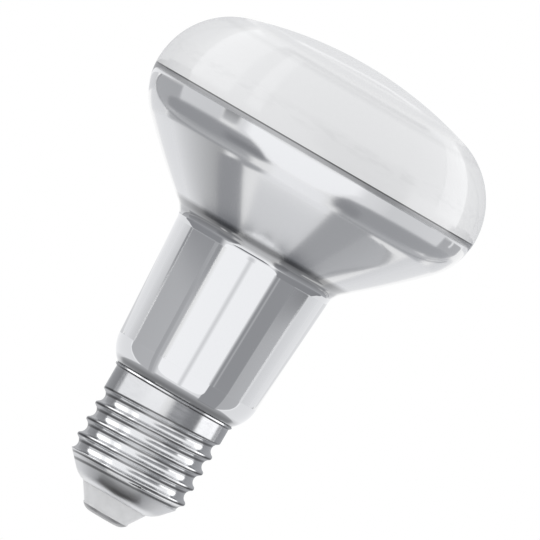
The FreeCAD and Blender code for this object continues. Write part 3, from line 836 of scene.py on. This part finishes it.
# Each card covers what surfaces facing between two directions across, and two upwards, mirror.
# Directions are in degrees. Levels are one for the whole card, or those at its left and right
# and, where given, the share of them left at its high side. A later card lies in front.
CARDS = [
    box("thread_low", 1.15, (-52, 58), (-68, -54), (6, 2)),
    box("thread_high", 1.12, (-50, 57), (9, 64), (6, 4)),
    box("side_high_left", (0.68, 0.74), (-89, -57), (3, 66), (6, 4)),
    box("side_high_right", (0.72, 0.66), (60, 89), (3, 66), (6, 4)),
    box("crown_sky", 0.78, (-89, 89), (68, 89), (4, 8)),
    box("cone_left_side", (0.84, 0.9), (-76, -56), (-52, -36)),
    box("cone_left_slope", (0.93, 0.4), (-58, -28), (-52, -36), (3, 4)),
    patch("cone_left_dark", (0.36, 0.37), (7, 8), (-33, -53, -44), (-29, -53, -42),
          (-25, -53, -40.5), (-21, -53, -39), (-19.5, -53, -44.5), (-18, -53, -46.5),
          (-16.5, -53, -48.2), (-14.5, -53, -49.8)),
    patch("cone_left_corner", (0.4, 0.5), (6, 3), (-25, -44.5, -35), (-19, -43.8, -35),
          (-15, -42.2, -35), (-11, -40, -35.5), (-8.5, -38, -36)),
    box("cone_centre", (0.8, 0.82), (-13, 15.5), (-52, -44)),
    box("cone_centre_high", (0.96, 0.98), (-12, 14), (-44, -36), (4, 3)),
    box("cone_right_dark", (0.43, 0.45), (15.5, 33), (-52, -37), (2, 4)),
    patch("cone_right_slope", (0.5, 0.6), (12, 14), (30, -53, -40), (36, -53, -40.5),
          (41, -53, -42.5), (46, -49.5, -43.5), (51, -46, -44.2), (53, -45, -44.6)),
    ribbon("cone_right_line", 0.4, 1.6, (38, -40.2), (41, -42.3), (46, -43.6), (51, -44.8),
           (50, -46), (46, -47.5), (42, -49), (40, -52)),
    box("cone_right_outer", (0.78, 0.88), (53, 62), (-52, -37), (3, 4)),
    box("cone_right_side", (0.86, 0.84), (60, 76), (-52, -36), (3, 4)),
    patch("joint_shade", 0.15, (5, 3), (-48, -53, -50), (-40, -53, -49.2), (-20, -53, -48.8),
          (20, -53, -48.8), (34, -53, -49.4), (42, -53, -50)),
    box("lens_left_side", (0.78, 0.84), (-78, -62), (-37, -19)),
    box("lens_right_side", 0.8, (66, 78), (-37, -19)),
    box("shoulder_left_rim", 0.72, (-84, -73), (-20, -6.5), (2, 2)),
    patch("shoulder_left_grey", (0.46, 0.5), (9, 6), (-72.5, -16, -9.5), (-70.5, -20.6, -6.6),
          (-67, -26.6, -4.6), (-61, -31.6, -4.5), (-46, -33.6, -4.5)),
    box("shoulder_left", (0.8, 0.78), (-53, -33), (-20, -4.6), (1.5, 3)),
    box("shoulder_left_inner", (0.86, 0.98), (-26, -19), (-23, -5.4)),
    patch("shoulder_left_gap", (0.7, 0.74, 0.42), (4, 4), (-33.5, -16, -3.5), (-31, -16, -3.5),
          (-28, -16, -3.5), (-25, -14, -3.5)),
    box("lens_left_foot", (0.52, 0.48), (-60, -18), (-37.4, -30), (4, 1.6)),
    box("lens_right_foot", (0.4, 0.58), (17, 60), (-37.4, -30), (4, 1.6)),
    patch("lens_left", (0.36, 0.4), (9, 5), (-61, -24.6, -21.6), (-58.5, -28.1, -18.6),
          (-54, -30.4, -17), (-48.5, -31.8, -16.2), (-39, -32.4, -16), (-27, -32.4, -16.2),
          (-20, -31.8, -16.8), (-15, -30.8, -20.6), (-9, -28.2, -24.6)),
    patch("lens_left_tip", (0.3, 0.27), (5, 2.6), (-32, -29.6, -20.6), (-24, -29.6, -20.6),
          (-16, -29.1, -21.6), (-10, -27.6, -24.6)),
    ribbon("outline_left", 0.36, 2.2, (-65, -4), (-69.2, -6.6), (-72, -10.4), (-72.6, -14.4),
           (-70.8, -19.4), (-67.4, -24.4), (-61, -30), (-53, -34), (-43, -36), (-30, -36.6),
           (-18, -36.4)),
    ribbon("lens_left_light", 0.58, 2.4, (-64, -26.6), (-58, -30), (-50, -32.8), (-41, -34),
           (-28, -34.4), (-16, -34)),
    box("shoulder_right_inner", (1, 0.8), (15, 31), (-21, -5.4), (4, 3)),
    box("shoulder_right", (0.78, 0.84), (30, 59), (-20, -4.6), (3, 2)),
    patch("shoulder_right_grey", (0.5, 0.52), (9, 6), (56.5, -32.6, -4.6), (60, -30.6, -4.6),
          (66, -25.6, -4.6), (70.5, -19.6, -4.8), (73, -13.6, -7.6)),
    ribbon("shoulder_right_dash", 0.9, 2.6, (63, -4.8), (64, -8.8), (63.5, -12.8)),
    patch("lens_right", (0.38, 0.46), (9, 6), (11, -29, -24.6), (17, -31.8, -18.6),
          (25, -32.4, -17), (39, -32.4, -16.2), (50, -31.4, -16.2), (59, -28.2, -16.4),
          (66, -24.2, -16.6), (69.5, -20.2, -17.4)),
    patch("lens_right_tip", (0.34, 0.32), (4, 2.6), (12, -34.6, -23.6), (16, -35.6, -19.1),
          (21, -35.6, -20.6), (25, -33.6, -24.6)),
    ribbon("lens_right_light", 0.56, 2.4, (72.5, -18.6), (67.6, -24.2), (62, -28.6), (54, -32),
           (44.5, -33.6), (29, -34.4), (16, -34.4)),
    ribbon("outline_right", 0.4, 2, (73.5, -20.6), (68.6, -26.6), (63, -30.6), (55, -34),
           (46.5, -35.8), (35, -36.8), (20, -36.8)),
    box("shoulder_white_low", (1.08, 1.04), (-10, 11), (-38, -27)),
    patch("shoulder_white", (1.17, 1.15), (7, 6), (-25, -14, -4.8), (-21, -17, -4.8),
          (-17, -20, -4.8), (-13, -27, -4.8), (-6, -29, -4.8), (5, -29, -4.8), (12, -26, -4.8),
          (17, -17, -4.8), (22, -13, -4.8)),
    box("neck_left_side", 0.91, (-88, -60), (-6.8, -2.9), (3, 0.3)),
    box("neck_left_outer", (0.9, 0.72), (-62, -52), (-6.4, -2.9), (2, 0.3)),
    box("neck_left", (0.54, 0.58), (-50.5, -22), NECK, (1.5, 0.4)),
    box("neck_left_top", (0.36, 0.37), (-50.5, -22), (-3.9, -2.9), (2, 0.5)),
    box("neck_left_edge", 0.36, (-53.2, -50.8), (-4.3, -2.9), (1.4, 0.7)),
    box("neck_left_line", (0.46, 0.5), (-28.4, -25.2), NECK, (1, 0.4)),
    box("neck_right_side", 0.92, (60, 76), (-6.8, -2.9), (3, 0.3)),
    box("neck_right_rim", 0.8, (74, 96), (-7.6, -2.9), (3, 0.3)),
    box("neck_right_outer", (0.82, 0.9), (49.5, 62), (-6.4, -2.9), (2, 0.3)),
    box("neck_right_light", 0.92, (48.9, 51), NECK, (1, 0.4)),
    box("neck_right", (0.54, 0.58), (34, 48.5), NECK, (1.5, 0.4)),
    box("neck_right_top", (0.36, 0.28), (34, 50), (-3.9, -2.9), (2, 0.5)),
    box("neck_right_dark", (0.36, 0.365), (18, 35), NECK, (1, 0.4)),
    box("neck_right_line", 0.5, (21.4, 22.8), NECK, (0.8, 0.4)),
    box("neck_window", (1.17, 1.15), (-19.6, 18.6), (-6, -2.9), (3.4, 0.2)),
    box("neck_seam", 0.84, (-2, 0.8), (-6, -2.9), (2.8, 0.2)),
    box("collar_left_edge", (0.5, 0.24), (-86, -70), (-2.9, 4), (4, 1)),
    box("collar_left_dark", (0.24, 0.2), (-70, -51.5), (-2.9, 6), (4, 1)),
    box("collar_white", (1.15, 1.12), (-51.5, -4), (-2.9, 9), (3, 1)),
    box("pill", (0.42, 0.34), (-2, 33), (4, 18), (6, 5)),
    box("collar_dark", (0.28, 0.2), (3, 33.5), (-2.9, 5), (7, 1)),
    box("collar_strip", 1.5, (33.5, 57), (-2.9, 10), (3, 1)),
    box("collar_right_dark", (0.2, 0.18), (57, 72), (-2.9, 5), (3, 1)),
    box("collar_right_edge", (0.22, 0.4), (71, 84), (-2.9, 4), (4, 1)),
    patch("broad_light", (2.1, 2.1, 0.68), (16, 16), (-53.5, 2, 66), (-49, 2, 63), (-44, 2, 60),
          (-40, 2, 59), (-36, 2, 61), (-33.5, 6, 65)),
    patch("narrow_light", (2.2, 2.2, 0.7), (6, 16), (-27.5, 2, 58), (-25.5, 2, 63), (-23, 2, 63),
          (-21, 2, 56)),
    patch("right_light", (2.2, 2.2, 0.62), (16, 16), (45.5, 2, 58), (48, 2, 60), (52, 2, 59),
          (56, 2, 62), (58.5, 2, 57), (59.5, 2, 40)),
    ribbon("face_left_inset", 0.45, 1.6, (-72, 8), (-71.5, 20), (-69, 32), (-64, 43), (-57, 52)),
    ribbon("face_right_inset", 0.4, 1.6, (72.5, 8), (72, 18), (70, 28), (66, 38), (61, 46)),
    box("face_top_shade", 0.35, (-32, 38), (57, 62), (8, 4)),
    ribbon("face_crown_line", 1.12, 2, (-45, 73), (-20, 75), (0, 76), (20, 76), (48, 73.5)),
]


# Cards close round the lamp, which catch only what leaves one narrow part of it: the round at the
# neck's foot, the bend at its top, or the cap. Written as the ones above, those of the cap with
# heights in millimetres in place of the directions upwards.
FOOT_CARDS = [
    box("foot_sides", 0.93, (-84, 84), (-44, -2.6), (2, 0.5)),
    patch("foot_floor", (0.5, 0.46), (8, 6), (-70, -46, -37), (-58, -46, -33), (-48, -46, -30.5),
          (-36, -46, -29), (36, -46, -29), (46, -46, -30.5), (58, -46, -34), (70, -46, -38)),
    patch("foot_left", (0.54, 0.58), (14, 14), (-52, -14, -2.2), (-49, -19, -2.2),
          (-44.5, -25, -2.2), (-40, -29, -2.2), (-32, -33, -2.2), (-20, -36, -2.2)),
    box("foot_left_line", (0.46, 0.5), (-28.4, -25.2), (-33, -3), (1, 0.4)),
    patch("foot_right", (0.54, 0.58), (14, 14), (33, -34, -2.2), (38, -31, -2.2), (42, -27, -2.2),
          (46, -22, -2.2), (48.5, -16, -2.2), (49.5, -10, -2.2)),
    box("foot_right_dark", (0.36, 0.365), (18, 35), (-34, -3), (1, 0.4)),
    patch("foot_window", (1.17, 1.15), (12, 9), (-22, -18, -1.4), (-20, -24, -1.4),
          (-17, -27, -1.4), (-12, -28.8, -1.4), (10, -28.8, -1.4), (15, -27, -1.4),
          (18, -24, -1.4), (19.5, -18, -1.4)),
    box("foot_seam", 0.84, (-2, 0.8), (-28, -3), (2.8, 0.4)),
    ribbon("foot_left_edge", 1.1, 1.6, (-53, -4), (-52, -13), (-48.5, -21), (-43, -28),
           (-37, -31)),
    ribbon("foot_right_edge", 1.1, 1.6, (50.8, -4), (50, -13), (47.5, -21), (42.5, -28),
           (36, -32)),
]
BEND_CARDS = [
    box("bend_sides", 0.93, (-84, 84), (-17, 8), (2, 0.6)),
    patch("bend_left", (0.3, 0.32), (14, 10), (-64, -17.5, -15), (-58, -18.5, -11),
          (-51, -19, -2.2), (-40, -19.5, 8), (-20, -19.5, 8)),
    patch("bend_right", (0.32, 0.28), (14, 10), (14, -19.5, 8), (34, -19.5, 8), (52, -19, -2.2),
          (57, -18.5, -11), (62, -17.5, -15)),
    patch("bend_window", (1.17, 1.15), (10, 8), (-21.6, -9, 8), (-19.5, -14, 8), (-15, -16.6, 8),
          (12, -16.6, 8), (16.5, -14, 8), (19.6, -8, 8)),
    box("bend_seam", 0.8, (-3, 1.6), (-13, -3), (3.5, 4)),
    patch("bend_lens", 0.1, (6, 3), (-18, -18, -17), (-10, -20.6, -16.4), (6, -20.6, -16.4),
          (13, -18, -17)),
]
CAP_CARDS = [
    box("cap_left_end", 0.52, (-88, -70), (9, 29.2), (3, 3)),
    box("cap_left", (0.4, 0.26), (-71, -52), (9, 29.2), (3, 3)),
    box("cap_right", (0.34, 0.44), (57, 88), (9, 29.2), (2, 3)),
]


# How far the cards of each list stand from what mirrors them, and how much nearer each later
# one of a list stands, in millimetres. Those of the cap stand at a radius from the axis.
FAR_STEP = 5
FOOT_GAP, BEND_GAP, GAP_STEP = 0.38, 0.55, 0.03
WALL_RADIUS, WALL_STEP = 13.75, 0.1

LAMP_MIDDLE = 60.0  # height that the far cards are centred on, in millimetres
ROUND_TOP = -3.7  # direction upwards, in degrees, where the round at the foot ends
NEAR = 0.1  # distance in metres up to which a card has a fine grid and only one side
COOL = 0.022  # how much bluer the light of a card at level 1 is


class LAMP_OT_stage(bpy.types.Operator):
    """Sets the camera, the pale floor, the plain light and the reflection cards"""

    bl_idname = "lamp.stage"
    bl_label = "Studio"

    def execute(self, context):
        studio = sizes_of("lamp_studio")
        self.set_camera(context.scene, studio)
        self.set_world(context.scene, studio)
        self.add_floor(studio)
        self.add_stand_card()
        glass = sizes_of("lamp_glass")
        foot = point(glass.foot_centre_radius, glass.foot_centre_height), glass.foot_radius
        neck_top = point(glass.neck_top_radius, glass.neck_top_height)
        bend = neck_top + outward(glass.neck_taper) * glass.neck_bend, -glass.neck_bend
        for cards, place, first, step, more in (
            (CARDS, self.far_place, studio.card_distance, FAR_STEP, ()),
            (FOOT_CARDS, self.round_place, FOOT_GAP * MM, GAP_STEP, foot),
            (BEND_CARDS, self.round_place, BEND_GAP * MM, GAP_STEP, bend),
            (CAP_CARDS, self.wall_place, WALL_RADIUS * MM, WALL_STEP, ()),
        ):
            for order, card in enumerate(cards):
                self.add_card(*card, place, first - order * step * MM, *more)
        return {"FINISHED"}

    def far_place(self, across, rise, distance):
        """A point far from the lamp, that surfaces facing this way mirror."""
        view = mirrored_view(math.radians(across), math.radians(rise))
        return point(0, LAMP_MIDDLE * MM) + view * distance

    def round_place(self, across, rise, distance, centre, size):
        """A point just off a round of the lamp's outline, that the round mirrors."""
        across, rise = math.radians(across), math.radians(min(rise, ROUND_TOP))
        radius = centre.x + size * math.cos(rise)
        start = round_axis(radius, across, centre.z + size * math.sin(rise))
        return start + mirrored_view(across, rise) * distance

    def wall_place(self, across, height, distance):
        """A point on an upright wall round the cap, that the cap mirrors."""
        across = math.radians(across)
        radius = sizes_of("lamp_cap").core_radius
        around = 2 * across - math.asin(radius / distance * math.sin(across))
        return round_axis(distance, around, height * MM)

    def set_camera(self, scene, studio):
        """Sets a long lens level with the coat's edge, and rolls the picture."""
        lens = bpy.data.cameras.new("picture_camera")
        camera = bpy.data.objects.new("picture_camera", lens)
        scene.collection.objects.link(camera)
        place = Vector((0, -studio.camera_distance, sizes_of("lamp_glass").coat_height))
        aim = Vector((studio.aim_across, 0, studio.aim_height))
        level = (aim - place).to_track_quat("-Z", "Y").to_matrix()
        turned = level @ Matrix.Rotation(studio.roll, 3, "Z")
        camera.matrix_world = Matrix.Translation(place) @ turned.to_4x4()
        lens.sensor_width = 36.0
        lens.lens = lens.sensor_width * (aim - place).length / studio.view_width
        lens.clip_start, lens.clip_end = 0.1, 50.0
        scene.camera = camera

    def set_world(self, scene, studio):
        """White to look at and to mirror, with a level of its own as light."""
        world = bpy.data.worlds.new("white_room")
        world.use_nodes = True
        world.node_tree.nodes.clear()
        scene.world = world
        sheet = NodeSheet(world.node_tree)
        ray = sheet.add("ShaderNodeLightPath").outputs
        seen = sheet.math("MAXIMUM", ray["Is Camera Ray"], ray["Is Glossy Ray"])
        seen = sheet.math("MAXIMUM", seen, ray["Is Transmission Ray"])
        light, white = (
            sheet.add("ShaderNodeBackground", color=(1, 1, 1, 1), strength=level).outputs[0]
            for level in (studio.room_level, 1.0)
        )
        both = sheet.add("ShaderNodeMixShader", in_0=seen, in_1=light, in_2=white)
        sheet.add("ShaderNodeOutputWorld", surface=both.outputs[0])
        scene.view_settings.view_transform = "Standard"

    def add_floor(self, studio):
        """A pale floor well below the lamp, which mirrors leave out."""
        bpy.ops.object.select_all(action="DESELECT")
        bpy.ops.mesh.primitive_plane_add(size=1.2, location=(0, 0, studio.floor_height))
        floor = bpy.context.object
        floor.name = "pale_floor"
        material, sheet = new_material("pale_floor_paint")
        marks = grain(sheet, 20.0)
        tone = sheet.mix_colour(marks, (0.90, 0.90, 0.90, 1), (0.93, 0.93, 0.93, 1))
        opaque(sheet, base_color=tone, roughness=0.9)
        floor.data.materials.append(material)
        floor.visible_glossy = False

    def add_stand_card(self):
        """A small dark crescent just below the bowl, which only reflections show."""
        whole_turn = math.radians(100)
        tip_radius, tuck, depth, height = 11.3, 1.8, 5.6, 0.3
        stand, sheet = self.new_card("stand", 24, 6)
        for vertex in stand.data.vertices:
            turn = whole_turn * vertex.co.x
            full = max(math.cos(math.pi * vertex.co.x), 0.0)
            reach = (tip_radius - tuck * full + depth * full**0.5 * vertex.co.y) * MM
            vertex.co = round_axis(reach, turn, height * MM)
        shader = sheet.add("ShaderNodeEmission", color=(1, 1, 1, 1), strength=0.02)
        close_material(sheet, shader)

    def new_card(self, name, columns, rows):
        """A grid that only reflections show, and the sheet for its material."""
        bpy.ops.object.select_all(action="DESELECT")
        bpy.ops.mesh.primitive_grid_add(x_subdivisions=columns, y_subdivisions=rows, size=1)
        card = bpy.context.object
        card.name = "card_" + name
        card.visible_camera = False
        card.visible_diffuse = False
        card.visible_shadow = False
        material, sheet = new_material(card.name)
        card.data.materials.append(material)
        return card, sheet

    def add_card(self, name, levels, sides, soft, place, distance, *more):
        """A glowing card that only reflections show, with soft sides.

        One close to the lamp is seen from inside alone.
        """
        spans = len(sides) - 1
        near = distance < NEAR
        columns = max((96 if near else 24) // spans, 3) * spans
        card, sheet = self.new_card(name, columns, 24)
        for vertex in card.data.vertices:
            along = (vertex.co.x + 0.5) * spans
            span = min(int(along + 0.001), spans - 1)
            low, high = (
                Vector(sides[span][way]).lerp(Vector(sides[span + 1][way]), along - span)
                for way in (0, 1)
            )
            across, rise = low.lerp(high, vertex.co.y + 0.5)
            vertex.co = place(across, rise, distance, *more)
        card.data.update()
        if not isinstance(levels, tuple):
            levels = levels, levels
        parts = sheet.parts("UV")
        level = sheet.spread(parts[0], 0.0, 1.0, *levels[:2])
        if len(levels) > 2:
            fall = sheet.spread(parts[1], 0.0, 1.0, 1.0, levels[2])
            level = sheet.math("MULTIPLY", level, fall)
        seen = sheet.shared("soft_sides", soft_sides, across=soft[0], upwards=soft[1])
        if near:
            middle = card.data.polygons[len(card.data.polygons) // 2]
            if middle.normal.xy.dot(middle.center.xy) > 0:
                card.data.flip_normals()
            behind = sheet.add("ShaderNodeNewGeometry").outputs["Backfacing"]
            seen = sheet.math("MULTIPLY", seen, sheet.math("SUBTRACT", 1.0, behind))
        cool = COOL / levels[0]
        clear = sheet.add("ShaderNodeBsdfTransparent").outputs[0]
        tint = (1, 1 + 0.25 * cool, 1 + cool, 1)
        glow = sheet.add("ShaderNodeEmission", color=tint, strength=level).outputs[0]
        shader = sheet.add("ShaderNodeMixShader", in_0=seen, in_1=clear, in_2=glow)
        close_material(sheet, shader)


class LAMP_PT_panel(bpy.types.Panel):
    """Sizes, colours and steps of the lamp"""

    bl_idname = "LAMP_PT_panel"
    bl_label = "Reflector bulb"
    bl_space_type = "VIEW_3D"
    bl_region_type = "UI"
    bl_category = "Lamp"

    def draw(self, context):
        for group, title in GROUPS:
            section = self.layout.box()
            section.label(text=title)
            values = getattr(context.scene, group)
            for name in values.bl_rna.properties.keys():
                if name not in ("rna_type", "name"):
                    section.prop(values, name)
        for operator in OPERATORS:
            self.layout.operator(operator.bl_idname)


GROUPS = (
    ("lamp_glass", "Glass"),
    ("lamp_cap", "Cap"),
    ("lamp_finishes", "Finishes"),
    ("lamp_studio", "Studio"),
)
GROUP_TYPES = (GlassSizes, CapSizes, Finishes, Studio)
OPERATORS = (
    LAMP_OT_glass,
    LAMP_OT_cap,
    LAMP_OT_insulator,
    LAMP_OT_contact,
    LAMP_OT_inside,
    LAMP_OT_stage,
)


def register():
    """Adds the property groups, operators and panel to the program."""
    for kind, (group, _) in zip(GROUP_TYPES, GROUPS):
        bpy.utils.register_class(kind)
        setattr(bpy.types.Scene, group, bpy.props.PointerProperty(type=kind))
    for kind in OPERATORS + (LAMP_PT_panel,):
        bpy.utils.register_class(kind)


def unregister():
    """Takes them out again."""
    for kind in (LAMP_PT_panel,) + OPERATORS:
        bpy.utils.unregister_class(kind)
    for kind, (group, _) in zip(GROUP_TYPES, GROUPS):
        delattr(bpy.types.Scene, group)
        bpy.utils.unregister_class(kind)


def main():
    """Builds the lamp and its studio."""
    register()
    bpy.ops.lamp.glass()
    bpy.ops.lamp.cap()
    bpy.ops.lamp.insulator()
    bpy.ops.lamp.contact()
    bpy.ops.lamp.inside()
    bpy.ops.lamp.stage()


if __name__ == "__main__":
    main()
